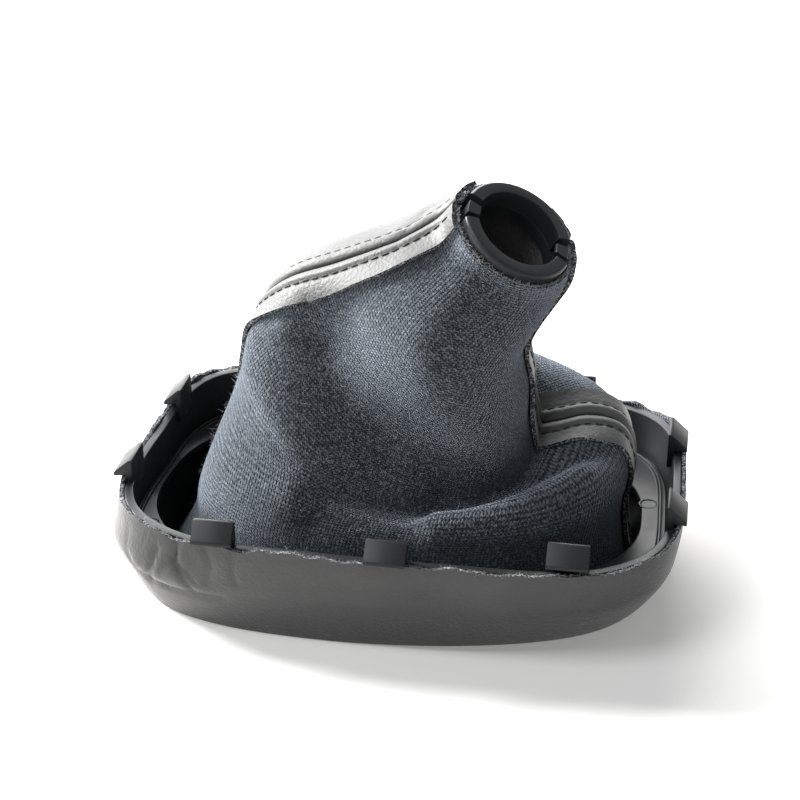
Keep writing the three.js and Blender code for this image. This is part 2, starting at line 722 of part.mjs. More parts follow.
// Places beside a seam of one panel, a distance from the groove and a height off the panel.
function besideSeam({ points, normals }, seam, distance, height) {
  const places = [];
  const width = seam === "left" ? LEFT_ALLOWANCE_WIDTH : RIGHT_ALLOWANCE_WIDTH;
  const share = (distance - foldReach) / (width / 2 - foldReach);
  points.forEach((row, r) => {
    if (!(coverRows[r].share > ALLOWANCES_START)) return;
    const edge = seam === "left" ? 0 : row.length - 1;
    const next = seam === "left" ? 1 : row.length - 2;
    const out = normals[r][edge].clone().lerp(normals[r][next], share);
    places.push(row[edge].clone().lerp(row[next], share).addScaledVector(out, height));
  });
  return places;
}

const blackPlastic = () => new THREE.MeshStandardMaterial({ color: 0x202123, roughness: 0.42 });
const coverCloth = () => new THREE.MeshStandardMaterial({ color: 0x2f3a45, roughness: 0.9 });
const blackThread = () => new THREE.MeshStandardMaterial({ color: 0x151515, roughness: 0.7 });

const part = new THREE.Group();

function addPiece(name, geometry, material) {
  const mesh = new THREE.Mesh(geometry, material);
  mesh.name = name;
  part.add(mesh);
}

addPiece("retaining_frame", frameGeometry(), blackPlastic());
addPiece("knob_collar", collarGeometry(), blackPlastic());
const panels = {};
for (const side of ["front", "rear"]) {
  const points = panelPoints(side);
  panels[side] = { points, normals: panelNormals(points, side) };
  addPiece(`${side}_panel`, panelGeometry(panels[side]), coverCloth());
}

const topstitchHeight = 2 * foldRadius + half + 2 * CLEARANCE + THREAD_RADIUS;
const hubDistance = foldRadius + half + 2 * CLEARANCE + THREAD_RADIUS;
const grooveHeight = foldRadius + Math.sqrt(hubDistance ** 2 - foldReach ** 2);
for (const seam of ["left", "right"]) {
  for (const side of ["front", "rear"]) {
    const places = besideSeam(panels[side], seam, TOPSTITCH_FROM_GROOVE, topstitchHeight);
    addPiece(`${seam}_seam_${side}_topstitch`, threadGeometry(places), blackThread());
  }
  const front = besideSeam(panels.front, seam, foldReach, grooveHeight);
  const rear = besideSeam(panels.rear, seam, foldReach, grooveHeight);
  const groove = front.map((place, k) => place.lerp(rear[k], 0.5));
  addPiece(`${seam}_seam_thread`, threadGeometry(groove), blackThread());
}

// The origin is the middle of the resting face.
const middle = new THREE.Box3().setFromObject(part).getCenter(new THREE.Vector3());
part.children.forEach((mesh) => mesh.geometry.translate(-middle.x, -middle.y, 0));

export default part;
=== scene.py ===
import math

import bmesh
import bpy
import numpy as np
from mathutils import Matrix, Vector, noise


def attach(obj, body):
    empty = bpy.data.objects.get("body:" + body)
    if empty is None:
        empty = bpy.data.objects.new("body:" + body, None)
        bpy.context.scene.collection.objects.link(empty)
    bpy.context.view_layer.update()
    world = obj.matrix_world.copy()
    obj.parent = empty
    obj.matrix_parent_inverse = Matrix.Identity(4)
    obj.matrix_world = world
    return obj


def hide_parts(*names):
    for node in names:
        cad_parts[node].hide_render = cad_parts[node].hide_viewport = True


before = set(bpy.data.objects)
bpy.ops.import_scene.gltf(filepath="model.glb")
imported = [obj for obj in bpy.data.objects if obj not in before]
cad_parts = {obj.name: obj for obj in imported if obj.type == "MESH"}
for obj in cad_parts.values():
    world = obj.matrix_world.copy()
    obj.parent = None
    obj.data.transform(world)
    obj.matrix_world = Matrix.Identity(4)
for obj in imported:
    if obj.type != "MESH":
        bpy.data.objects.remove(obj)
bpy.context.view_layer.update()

# Camera: a long lens from the front, a little to the right and well above the table.
# Its place was found from the outlines of the covered frame, the clips and the collar.
camera_azimuth = math.radians(9.7)
camera_elevation = math.radians(28)
camera_distance = 0.56
camera_target = Vector((-0.0106, 0.0481, 0.0225))
camera_back = Vector(
    (
        math.sin(camera_azimuth) * math.cos(camera_elevation),
        -math.cos(camera_azimuth) * math.cos(camera_elevation),
        math.sin(camera_elevation),
    )
)
camera_data = bpy.data.cameras.new("camera")
camera_data.sensor_width = 36
camera_data.lens = 86.94
camera = bpy.data.objects.new("camera", camera_data)
camera.location = camera_target + camera_distance * camera_back
camera.rotation_euler = camera_back.to_track_quat("Z", "Y").to_euler()
bpy.context.collection.objects.link(camera)
bpy.context.scene.camera = camera
bpy.context.scene.view_settings.view_transform = "Standard"


# Lights: a soft key from the left, a broad one from behind, a weaker one from above the front
# left, and a surround that the camera and every gloss see as white.
def area_light(name, place, target, size, power, color):
    data = bpy.data.lights.new(name, "AREA")
    data.shape = "DISK"
    data.size = size
    data.energy = power
    data.color = color
    light = bpy.data.objects.new(name, data)
    light.location = place
    light.rotation_euler = (Vector(place) - Vector(target)).to_track_quat("Z", "Y").to_euler()
    bpy.context.collection.objects.link(light)


area_light("key_light", (-1.0, 0.34, 0.66), (0, 0, 0.04), 0.5, 60, (1, 0.99, 0.97))
area_light("back_light", (-0.5, 1.15, 0.85), (0, 0, 0.05), 1.5, 44, (1, 1, 1))
area_light("fill_light", (-0.7, -0.6, 1.1), (0, 0, 0.03), 0.7, 8.5, (0.97, 0.985, 1))


def add_node(nodes, links, kind, inputs=None, **settings):
    node = nodes.new("ShaderNode" + kind)
    for key, value in settings.items():
        setattr(node, key, value)
    for key, value in (inputs or {}).items():
        if hasattr(value, "is_output"):
            links.new(value, node.inputs[key])
        else:
            node.inputs[key].default_value = value
    return node


def seen_as_white(nodes, links):
    # 1 for what the camera, a gloss or a clear body sees, 0 for what lights the object.
    path = add_node(nodes, links, "LightPath").outputs
    seen = {0: path["Is Camera Ray"], 1: path["Is Glossy Ray"]}
    seen = add_node(nodes, links, "Math", seen, operation="ADD")
    seen = {0: seen.outputs[0], 1: path["Is Transmission Ray"]}
    return add_node(nodes, links, "Math", seen, operation="ADD", use_clamp=True).outputs[0]


# Surround: faint bluish light on the gaiter, and plain white to the camera and in every gloss.
surround = bpy.data.worlds.new("surround")
bpy.context.scene.world = surround
surround.use_nodes = True
nodes, links = surround.node_tree.nodes, surround.node_tree.links
nodes.clear()
surround_light = add_node(nodes, links, "Background", {"Color": (0.93, 0.97, 1, 1), "Strength": 0.17})
surround_seen = add_node(nodes, links, "Background", {"Color": (1, 1, 1, 1), "Strength": 1.0})
surround_mix = add_node(
    nodes,
    links,
    "MixShader",
    {0: seen_as_white(nodes, links), 1: surround_light.outputs[0], 2: surround_seen.outputs[0]},
)
add_node(nodes, links, "OutputWorld", {"Surface": surround_mix.outputs[0]})

# Floor: a wide pale table top that the gaiter lies on. To the camera it is lifted to white, so that
# only soft shadows show.
floor_reach = 3
floor_lift_to_white = 0.25
floor_shape = bmesh.new()
bmesh.ops.create_grid(floor_shape, x_segments=1, y_segments=1, size=floor_reach)
floor_mesh = bpy.data.meshes.new("floor")
floor_shape.to_mesh(floor_mesh)
floor_shape.free()
floor = bpy.data.objects.new("floor", floor_mesh)
bpy.context.collection.objects.link(floor)
floor_look = bpy.data.materials.new("floor")
floor_look.use_nodes = True
nodes, links = floor_look.node_tree.nodes, floor_look.node_tree.links
nodes.clear()
floor_diffuse = add_node(nodes, links, "BsdfDiffuse", {"Color": (0.8, 0.79, 0.775, 1)})
floor_lift = {0: seen_as_white(nodes, links), 1: floor_lift_to_white}
floor_lift = add_node(nodes, links, "Math", floor_lift, operation="MULTIPLY").outputs[0]
floor_glow = add_node(nodes, links, "Emission", {"Color": (1, 0.995, 0.98, 1), "Strength": floor_lift})
floor_sum = add_node(nodes, links, "AddShader", {0: floor_diffuse.outputs[0], 1: floor_glow.outputs[0]})
add_node(nodes, links, "OutputMaterial", {"Surface": floor_sum.outputs[0]})
floor_mesh.materials.append(floor_look)


# Frame moulding: black plastic, moulded in one with its clips. An outer wall leans in below a
# crease; inside it are a flange and a small rib, with a channel between wall and rib. Sizes are
# in millimetres, insets from the outer face, heights from the table.
def new_finish(name, color, roughness):
    look = bpy.data.materials.new(name)
    look.use_nodes = True
    nodes = look.node_tree.nodes
    shader = nodes["Principled BSDF"]
    shader.inputs["Base Color"].default_value = (*color, 1)
    shader.inputs["Roughness"].default_value = roughness
    return look, nodes, look.node_tree.links, shader


def moulded_plastic(name, color, roughness, grain):
    look, nodes, links, shader = new_finish(name, color, roughness)
    place = add_node(nodes, links, "TexCoord").outputs["Object"]
    fine = add_node(nodes, links, "TexNoise", {"Vector": place, "Scale": 1600, "Detail": 2})
    broad = add_node(nodes, links, "TexNoise", {"Vector": place, "Scale": 90, "Detail": 3})
    bump = {"Height": fine.outputs["Fac"], "Strength": grain, "Distance": 0.00005}
    bump = add_node(nodes, links, "Bump", bump)
    worn = {"Value": broad.outputs["Fac"], "From Min": 0.3, "From Max": 0.7}
    worn |= {"To Min": roughness - 0.06, "To Max": roughness + 0.08}
    worn = add_node(nodes, links, "MapRange", worn)
    links.new(worn.outputs["Result"], shader.inputs["Roughness"])
    links.new(bump.outputs["Normal"], shader.inputs["Normal"])
    shader.inputs["Specular IOR Level"].default_value = 0.15
    return look


def reach(turn, squareness):
    across = np.abs(np.cos(turn)) ** squareness
    along = np.abs(np.sin(turn)) ** squareness
    return (across + along) ** (-1 / squareness)


def soft_step(low, high, value):
    t = np.clip((value - low) / (high - low), 0, 1)
    return t * t * (3 - 2 * t)


half_length = 72.5
half_width = 48.5
wall_top = 28.1
rise_at_ends = 4
rise_rear_left = 3
drop_at_front_corners = 2
base_level = 1.5
crease_level = 14.5
base_squareness = 3.3
wall_squareness = 3.9
skirt_lean = -3
corner_lift = 5
flare_right = 0.02
flare_left = 0.05


def rise_at(x, y, height):
    # How far the wall's edge stands above its middle: the frame is bent up at both ends.
    corner = rise_rear_left * soft_step(20, 60, -x) * soft_step(0, 35, y)
    corner = corner - drop_at_front_corners * soft_step(15, 55, np.abs(x)) * soft_step(0, 35, -y)
    return (rise_at_ends * (x / half_length) ** 2 + corner) * height / wall_top


def on_plan(turn, inset, height, squareness=wall_squareness, length=half_length, width=half_width):
    # A place on the frame's rounded outline. The front right corner is lifted off the table.
    out = reach(turn, squareness)
    across = np.sin(turn) * out
    below = 1 - height / wall_top
    flare = 1 - np.where(np.cos(turn) > 0, flare_right, flare_left) * across
    x = (length - inset) * np.cos(turn) * out * flare + skirt_lean * below
    y = (width - inset) * across
    lift = corner_lift * soft_step(-15, 60, x) * soft_step(10, -30, y) * below
    return np.stack([x, y, height + rise_at(x, y, height) + lift], axis=-1)


rib_inset = 5.6
flange_inset = 9.9
flange_level = 17.5
aperture_half_length = 64.25
aperture_half_width = 38.7
aperture_squareness = 2.6
aperture_shift = np.array([-1.75, 0, 0])


def on_frame(turn, inset, height):
    # The flange's own inset is stretched, so that it ends at the aperture all the way round.
    risen = min(max((height - base_level) / (crease_level - base_level), 0), 1)
    squareness = base_squareness + (wall_squareness - base_squareness) * risen
    on_flange = height > 10 and inset > rib_inset
    outer = on_plan(turn, rib_inset if on_flange else inset, height, squareness)
    if not on_flange:
        return outer
    share = (inset - rib_inset) / (flange_inset - rib_inset)
    edge = on_plan(turn, 0, height, aperture_squareness, aperture_half_length, aperture_half_width)
    return outer * (1 - share) + (edge + aperture_shift) * share


def rounded(section, radius):
    # A section with its corners rounded, each by four points.
    done = []
    for k, here in enumerate(section):
        before = np.array(section[k - 1], float)
        after = np.array(section[(k + 1) % len(section)], float)
        here = np.array(here, float)
        back, on = before - here, after - here
        cut = min(radius, 0.45 * np.linalg.norm(back), 0.45 * np.linalg.norm(on))
        start = here + back / np.linalg.norm(back) * cut
        end = here + on / np.linalg.norm(on) * cut
        for t in (0, 1 / 3, 2 / 3, 1):
            done.append((1 - t) ** 2 * start + 2 * t * (1 - t) * here + t**2 * end)
    return done


# The drawing's middle lies 0.7 mm left of the resting face's middle.
to_metres = Matrix.Scale(0.001, 4) @ Matrix.Translation((0.7, 0, 0))


def finished_piece(shape, name, look, smooth_angle):
    bmesh.ops.transform(shape, matrix=to_metres, verts=shape.verts)
    bmesh.ops.recalc_face_normals(shape, faces=shape.faces)
    for edge in shape.edges:
        edge.smooth = len(edge.link_faces) == 2 and edge.calc_face_angle(0) <= math.radians(smooth_angle)
    for face in shape.faces:
        face.smooth = True
    mesh = bpy.data.meshes.new(name)
    shape.to_mesh(mesh)
    shape.free()
    mesh.materials.append(look)
    piece = bpy.data.objects.new(name, mesh)
    bpy.context.collection.objects.link(piece)
    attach(piece, "root")
    return piece


def spun(shape, places, centre, axis, angle, steps):
    # A closed section turned about an axis: right round, or as a solid with two flat ends.
    corners = [shape.verts.new(place) for place in places]
    whole = abs(angle - 2 * math.pi) < 1e-6
    if whole:
        geometry = corners + [shape.edges.new((corners[k - 1], corners[k])) for k in range(len(corners))]
    else:
        geometry = corners + [shape.faces.new(corners)]
    before = set(shape.verts) - set(corners)
    bmesh.ops.spin(
        shape,
        geom=geometry,
        cent=centre,
        axis=axis,
        angle=angle,
        steps=steps,
        use_merge=whole,
        use_duplicate=False,
    )
    return [vert for vert in shape.verts if vert not in before]


frame_section = rounded(
    [
        (7, base_level), (9.4, base_level), (4.6, 15), (5.9, 15.5), (flange_inset, 15.5),
        (flange_inset, flange_level), (rib_inset, flange_level), (rib_inset, 18.3), (4.9, 18.3),
        (4.9, 16.8), (3.6, 16.8),
        (3.6, wall_top), (1.5, wall_top), (1.9, crease_level),
    ],
    0.35,
)
frame_shape = bmesh.new()
# The section is spun round a circle of this radius, and then laid on the frame's outline.
drawn_radius = 100
section_places = [(drawn_radius - inset, 0, height) for inset, height in frame_section]
for vert in spun(frame_shape, section_places, (0, 0, 0), (0, 0, 1), 2 * math.pi, 360):
    inset = drawn_radius - math.hypot(vert.co.x, vert.co.y)
    vert.co = on_frame(math.atan2(vert.co.y, vert.co.x), inset, vert.co.z)

# Marks of the mould's ejector pins: low round rims that the pins left in the black plastic of the
# flange. They are in one mesh with the frame.
mark_places = ((-65.4, -23.5), (62.8, 6.7))
mark_section = [(2.0, -0.3), (2.55, -0.3), (2.55, 0.06), (2.4, 0.14), (2.15, 0.14), (2.0, 0.04)]
all_round = np.linspace(0, 2 * math.pi, 721)
flange_insets = np.arange(6, flange_inset, 0.3)
flange_top = np.concatenate([on_frame(all_round, inset, flange_level) for inset in flange_insets])
for mark_x, mark_y in mark_places:
    level = flange_top[np.argmin(np.hypot(flange_top[:, 0] - mark_x, flange_top[:, 1] - mark_y)), 2]
    rim = [(mark_x + radius, mark_y, level + height) for radius, height in mark_section]
    spun(frame_shape, rim, (mark_x, mark_y, level), (0, 0, 1), 2 * math.pi, 40)

# Clips of the frame: upright stems of the same black plastic, with a wedge-shaped barb to the
# outside that snaps behind the edge of the console's opening. They are in one mesh with the frame.
clip_root = 4
clip_section = rounded(
    [(0, -clip_root), (0, 1.2), (3.4, 0.9), (3.4, 1.9), (-0.9, 5.8), (-1.8, 5.8), (-1.8, -clip_root)], 0.35
)
clip_half = 10.3 / 2
clip_inset = 1.65


def far_face(grown, corners):
    # The end face of what an extrusion made: the one with as many corners as the section.
    faces = (item for item in grown if isinstance(item, bmesh.types.BMFace))
    return next(face for face in faces if len(face.verts) == corners)


def add_clip(along, raised, out):
    # out is the way the barb points; the stem stands where the wall is furthest in under it.
    turns = all_round[:-1]
    side_axis = 0 if out[1] else 1

    def depth(place, height):
        wall = on_plan(turns, clip_inset, height)
        facing = wall[:, 0] * out[0] + wall[:, 1] * out[1]
        miss = np.abs(wall[:, side_axis] - place) + np.where(facing > 0, 0, 1000)
        return facing[np.argmin(miss)]

    widths, levels = (-clip_half, 0, clip_half), (wall_top, wall_top - clip_root)
    foot = min(depth(along + aside, level) for aside in widths for level in levels)
    outward = Vector((out[0], out[1], 0))
    side = Vector((1, 0, 0)) if out[1] else Vector((0, 1, 0))
    middle = outward * foot + side * along
    height = wall_top + rise_at(middle.x, middle.y, wall_top) + raised
    corners = [
        frame_shape.verts.new(middle - side * clip_half + outward * x + Vector((0, 0, height + z)))
        for x, z in clip_section
    ]
    near_end = frame_shape.faces.new(corners)
    grown = bmesh.ops.extrude_face_region(frame_shape, geom=[near_end])["geom"]
    far_end = far_face(grown, len(corners))
    bmesh.ops.translate(frame_shape, verts=list(far_end.verts), vec=side * 2 * clip_half)
    bmesh.ops.bevel(
        frame_shape,
        geom=[*near_end.edges, *far_end.edges],
        offset=0.14,
        segments=2,
        profile=0.5,
        affect="EDGES",
        clamp_overlap=True,
        material=-1,
    )


for along, raised in ((-42.6, 0), (1.4, 0), (45.6, 1.6)):
    add_clip(along, raised, (0, -1))
for along, raised in ((-41, 0), (-1, 0), (40, 2.4)):
    add_clip(along, raised, (0, 1))
for along in (-18, 18):
    add_clip(along, 0, (-1, 0))
    add_clip(along, 0, (1, 0))
frame_plastic = moulded_plastic("frame_plastic", (0.016, 0.017, 0.0185), 0.38, 0.5)
frame_piece = finished_piece(frame_shape, "frame_moulding", frame_plastic, 30)
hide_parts("retaining_frame")

# Collar: a short ring of black plastic with two slots, each with a spring tongue and a nib, that
# leans with the sleeve's mouth. It is drawn round its own axis, with height measured down from
# its face, and the sleeve is bonded round its lower half.
bore_radius = 11.4
collar_radius = 15
collar_centre = np.array([26.8, 1.6, 98.5])
collar_axis = np.array([0.49, -0.29, 0.82])
collar_axis /= np.linalg.norm(collar_axis)
collar_right = np.array([1, 0, 0]) - collar_axis[0] * collar_axis
collar_right /= np.linalg.norm(collar_right)
collar_rear = np.cross(collar_axis, collar_right)


def on_collar(radius, below, turn):
    radius, below, turn = np.broadcast_arrays(radius, below, turn)
    spoke = np.cos(turn)[..., None] * collar_right + np.sin(turn)[..., None] * collar_rear
    return collar_centre - collar_axis * below[..., None] + spoke * radius[..., None]


def collar_arc(section, start, end):
    steps = max(3, int(abs(end - start) / math.radians(3)))
    section = np.array(section)
    places = on_collar(section[:, 0], section[:, 1], np.full(len(section), start))
    spun(collar_shape, places, collar_centre, collar_axis, end - start, steps)


lower_ring = rounded(
    [(bore_radius, 9), (collar_radius, 9), (collar_radius, 5.4), (bore_radius, 5.4)], 0.3
)
upper_ring = rounded(
    [(bore_radius, 5.6), (collar_radius, 5.6), (collar_radius, 0.6), (14.4, 0), (bore_radius, 0)], 0.35
)
middle_radius = (bore_radius + collar_radius) / 2
slot_half = math.asin(3.8 / middle_radius)
tongue_half = math.asin(1.9 / middle_radius)
tongue_section = rounded(
    [(bore_radius, 6), (14.2, 6), (14.2, 0.5), (10.9, 0.5), (10.5, 1.3), (bore_radius, 2.3)], 0.25
)
collar_shape = bmesh.new()
collar_arc(lower_ring, 0, 2 * math.pi)
for slot_turn in (0, math.pi):
    collar_arc(upper_ring, slot_turn + slot_half, slot_turn + math.pi - slot_half)
    collar_arc(tongue_section, slot_turn - tongue_half, slot_turn + tongue_half)
collar_plastic = moulded_plastic("collar_plastic", (0.018, 0.02, 0.022), 0.34, 0.35)
collar_piece = finished_piece(collar_shape, "collar_ring", collar_plastic, 30)
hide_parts("knob_collar")

# Panels of the cover: a front and a rear sheet of leatherette on a knitted backing, from the raw
# edge on the wall, round the rim, up through the frame and on to the collar. The sleeve is turned
# inside out, so the backing shows. At each seam both are folded back and stitched down.

# The sleeve's rings, from the frame to the collar: where each lies at its left end, its right
# end, its front and its rear, as a place along that way and a height.
sleeve_places = [
    ((-58.2, 14.5), (56.5, 13.5), (-36.2, 13.5), (36.4, 13.5)),
    ((-56, 24.5), (55.5, 24.5), (-36.5, 22.5), (37, 24.5)),
    ((-52, 35.5), (57, 35.5), (-36, 29.5), (36, 35.5)),
    ((-48, 45.5), (54, 44), (-33.5, 32.5), (34, 45.5)),
    ((-45, 54), (46.5, 46), (-29.5, 32), (31, 53.5)),
    ((-42, 62.5), (38.5, 43.5), (-26.5, 31.5), (28.5, 59.5)),
    ((-38, 71.5), (33, 41.7), (-25.5, 36.5), (26.5, 64.5)),
    ((-30, 80), (30.5, 48.5), (-25, 47.5), (24.5, 70.5)),
    ((-17.5, 86.8), (30, 57.5), (-23.5, 59.5), (22.5, 77.5)),
    ((-4, 93), (28.7, 68.5), (-21, 72.5), (20, 85.5)),
]
# The sleeve's two last rings, on the collar: radius and depth below the collar's face.
neck_ring = (17.7, 10.0)
mouth_ring = (15.9, 3.0)

# Where the seams run, in degrees round each ring, and the cover's way round the wall and the rim
# as inset, height and squareness.
left_seam_turns = [156, 152, 149, 147, 149, 154, 162, 170, 176, 181, 182, 180, 174]
right_seam_turns = [9, 9, 8, 6, 4, 3, 3, 6, 11, 17, 22, 26, 28]
wrap_profile = [
    (0.8, 28.3, 3.9), (0.45, 24.5, 3.9), (0.6, 19, 3.9), (1.1, 14.7, 3.85), (3.7, 6.9, 3.6),
    (6.0, 1.25, 3.3), (7.0, 0.6, 3.3), (10.0, 0.6, 3.3), (11.0, 1.7, 3.3),
]
lowest_level = 0.6


def smooth(values, share):
    # A value between the listed ones, on a smooth curve through them.
    values = np.asarray(values, float)
    last = len(values) - 1
    scaled = share * last
    k = min(int(scaled), last - 1)
    t = scaled - k
    a, b, c, d = (values[min(max(i, 0), last)] for i in (k - 1, k, k + 1, k + 2))
    return b + 0.5 * t * (c - a + t * (2 * a - 5 * b + 4 * c - d + t * (3 * (b - c) + d - a)))


def on_ring(places, squareness, turn):
    (left, left_z), (right, right_z), (front, front_z), (rear, rear_z) = places
    out = reach(turn, squareness)
    along, across = np.cos(turn), np.sin(turn)
    ends, sides = (left_z + right_z) / 2, (front_z + rear_z) / 2
    level = (ends + sides) / 2 + (ends - sides) / 2 * np.cos(2 * turn)
    slope = (right_z - left_z) / 2 * along + (rear_z - front_z) / 2 * across
    x = (left + right) / 2 + (right - left) / 2 * along * out
    y = (front + rear) / 2 + (rear - front) / 2 * across * out
    return np.stack([x, y, level + slope], axis=-1)


def on_cover(row, turn):
    kind, share = row
    if kind == "wrap":
        inset, height, squareness = smooth(wrap_profile, share)
        # The raw edge on the wall is cut unevenly.
        ragged = 0.45 * np.sin(turn * 23 + 1.3 * np.sin(turn * 9)) + 0.25 * np.sin(turn * 61 + 2)
        level = max(height, lowest_level) + ragged * max(1 - share * 8, 0)
        return on_plan(turn, inset, level, squareness)
    rings = [on_plan(turn, *wrap_profile[-1])]
    for k, places in enumerate(sleeve_places):
        rings.append(on_ring(places, 2.5 - 0.5 * k / (len(sleeve_places) - 1), turn))
    rings.append(on_collar(*neck_ring, turn))
    rings.append(on_collar(*mouth_ring, turn))
    return smooth(rings, share)


# The sheet's mesh, and the allowances in mm: how the sheet is folded and how wide it lies back.
wrap_steps = 44
sleeve_steps = 150
cover_rows = [("wrap", k / wrap_steps) for k in range(wrap_steps)]
cover_rows += [("sleeve", k / sleeve_steps) for k in range(sleeve_steps + 1)]
near_columns = 16
middle_columns = 146
# The front panel has its columns closer where its skirt is creased.
column_marks = {"front": ((0, 0.16, 0.66, 1), (0, 0.2, 0.5, 1)), "rear": ((0, 1), (0, 1))}
cover_half = 0.55
fold_radius = 0.64
fold_reach = 1.3
allowance = 10.5
allowance_start = 0.06

# Creases and swellings of the sleeve: lines in mm, with their width and how far they stand out.
creases = [
    ([(52, -9, 45), (40.4, -13.5, 39.9), (30.6, -15.3, 35), (21.2, -21.7, 33), (12, -25, 34)], 3, -2),
    ([(-27, -15, 72), (-21, -20, 62), (-14, -24, 53), (-5, -27, 45)], 7, -4),
    ([(-19, -17, 73), (-11, -21, 63), (-2, -24.5, 54), (7, -26, 47), (14, -24, 43)], 10, -5.5),
    ([(12, -32.5, 33.5), (19, -31.5, 34), (27, -28.5, 36), (37, -24, 39), (46, -18, 42)], 5, 3),
    ([(-43, -6, 65.6), (-39, -12, 58), (-31, -20.5, 49), (-23, -26, 41)], 7, 3),
    ([(-18, -33, 32), (-7, -34.5, 31.5), (4, -34, 32)], 6, -2.6),
    ([(17, -14, 88), (9, -20, 76), (11, -22, 63), (16, -22, 53), (20, -22, 44)], 8, 2),
    ([(3, 8, 99), (-2.5, -0.6, 94.9), (-4.3, -7.7, 91.6)], 1.1, -0.7),
    ([(4.5, 8, 100), (-0.5, -0.1, 96.2), (-2.3, -7.3, 92.7)], 1, -0.6),
    ([(-1, 6, 97), (-4.3, -0.5, 95), (-6.2, -6.6, 91.5)], 1.1, -0.7),
    ([(-29.3, -2.3, 81.6), (-27.1, -5.3, 80.6), (-24.4, -8.3, 78.5)], 1, -0.6),
    ([(-31.8, -1.3, 80.4), (-29, -4.8, 79.6), (-26, -6.9, 78.9)], 1, -0.5),
]

# Folds and creases of the skirt, in the same way.
skirt_folds = [
    ([(-72, -12, 20), (-71, -28, 19), (-63, -39, 18.5), (-52, -44.5, 18)], 4, 1.1),
    (
        [(-67, -30, 13.5), (-63.5, -39, 14.3), (-54.6, -43.1, 12.5), (-46.8, -44.9, 12.4), (-40, -46.5, 12.5)],
        0.9,
        -0.8,
    ),
    ([(-66.6, -38.5, 26), (-67.3, -38.3, 20.3), (-65.2, -39.6, 17.3)], 0.75, -0.6),
    ([(-57.6, -43.6, 24.3), (-59.6, -42.8, 17), (-61.7, -39.5, 12)], 0.75, -0.7),
    (
        [(-51.7, -45.2, 28.3), (-52.6, -45.1, 22.2), (-50.4, -45.6, 17.7), (-48.3, -45.3, 13.8)],
        0.75,
        -0.7,
    ),
    ([(-52.2, -45.1, 24), (-55.2, -44.5, 20), (-56.7, -44, 17)], 0.7, -0.5),
    ([(-52.6, -45.1, 22.2), (-49.5, -45.7, 20), (-47.5, -46, 16.5)], 0.7, -0.5),
    ([(-59, -43, 19.5), (-62.5, -41.2, 18), (-64.5, -40, 15.5)], 0.7, -0.5),
    ([(-36.5, -47.7, 28.5), (-37.3, -47.6, 22.5), (-36.7, -47.6, 18.7)], 0.9, -0.6),
    ([(-44.1, -46.8, 27.8), (-42.8, -47.1, 21.6), (-44.2, -46.8, 17)], 0.9, -0.6),
    ([(51.1, -45, 26.1), (51.5, -44.3, 19.9)], 1, -0.5),
    ([(-20, -48.3, 19), (20, -48.5, 17.5)], 2.5, -0.3),
]


def from_line(points, line):
    # The distance of each point from a line of straight stretches.
    best = np.full(points.shape[:-1], 1e9)
    for a, b in zip(line, line[1:]):
        a, b = np.array(a, float), np.array(b, float)
        along = np.clip(((points - a) @ (b - a)) / ((b - a) @ (b - a)), 0, 1)
        best = np.minimum(best, np.linalg.norm(points - a - along[..., None] * (b - a), axis=-1))
    return best


def grid_normals(points, sign):
    across = np.gradient(points, axis=1)
    up = np.gradient(points, axis=0)
    normal = np.cross(across, up) * sign
    return normal / np.maximum(np.linalg.norm(normal, axis=-1, keepdims=True), 1e-9)


def cover_grid(side):
    # One panel without its allowances: places and outward ways in rows round and columns up.
    sign = 1 if side == "front" else -1
    panel, lengths, middles = [], [], []
    for row in cover_rows:
        share = row[1] if row[0] == "sleeve" else 0
        start = math.radians(smooth(left_seam_turns, share))
        end = math.radians(smooth(right_seam_turns, share)) + (2 * math.pi if side == "front" else 0)
        turns = np.linspace(start, end, 361)
        points = on_cover(row, turns)
        steps = np.linalg.norm(np.diff(points, axis=0), axis=1)
        along = np.concatenate([[0], np.cumsum(steps)])
        total = along[-1]
        edge = fold_reach if row[0] == "sleeve" and share > allowance_start else 0.3
        near = np.linspace(edge, allowance, near_columns)
        spread = np.interp(np.linspace(0, 1, middle_columns + 2)[1:-1], *column_marks[side])
        middle = allowance + (total - 2 * allowance) * spread
        distances = np.concatenate([near, middle, total - near[::-1]])
        panel.append(on_cover(row, np.interp(distances, along, turns)))
        lengths.append(distances)
        middles.append(total / 2)
    panel = np.array(panel)
    lengths = np.array(lengths)
    sleeve = np.array([row[0] == "sleeve" for row in cover_rows])
    shares = np.array([row[1] if row[0] == "sleeve" else 0 for row in cover_rows])
    normals = grid_normals(panel, sign)
    on_sleeve = soft_step(0.05, 0.15, shares) * (1 - soft_step(0.9, 0.98, shares))
    push = np.zeros(panel.shape[:2])
    for line, width, height in creases:
        push += height * np.exp(-((from_line(panel, line) / width) ** 2)) * on_sleeve[:, None]
    for line, width, height in skirt_folds:
        push -= height * np.exp(-((from_line(panel, line) / width) ** 2)) * (~sleeve)[:, None]
    panel = panel + normals * push[..., None]
    normals = grid_normals(panel, sign)
    flat_u = lengths - np.array(middles)[:, None]
    middle_column = panel.shape[1] // 2
    steps = np.linalg.norm(np.diff(panel[:, middle_column], axis=0), axis=1)
    flat_v = np.concatenate([[0], np.cumsum(steps)])
    return panel, normals, lengths, flat_u, flat_v, sleeve, shares


def at_distance(values, lengths, wanted):
    # Values of the panel's columns, read at wanted distances along each row.
    found = np.empty((*wanted.shape, 3))
    for r in range(len(wanted)):
        for k in range(3):
            found[r, :, k] = np.interp(wanted[r], lengths[r], values[r, :, k])
    return found


fold_angles = (30, 60, 90, 120, 150)
roll_from_fold = 2.3
roll_height = 0.4
topstitch_from_fold = 3.8
topstitch_pull = 0.22
edge_lift = 0.35
edge_lift_more = 0.9
edge_unevenness = 0.35


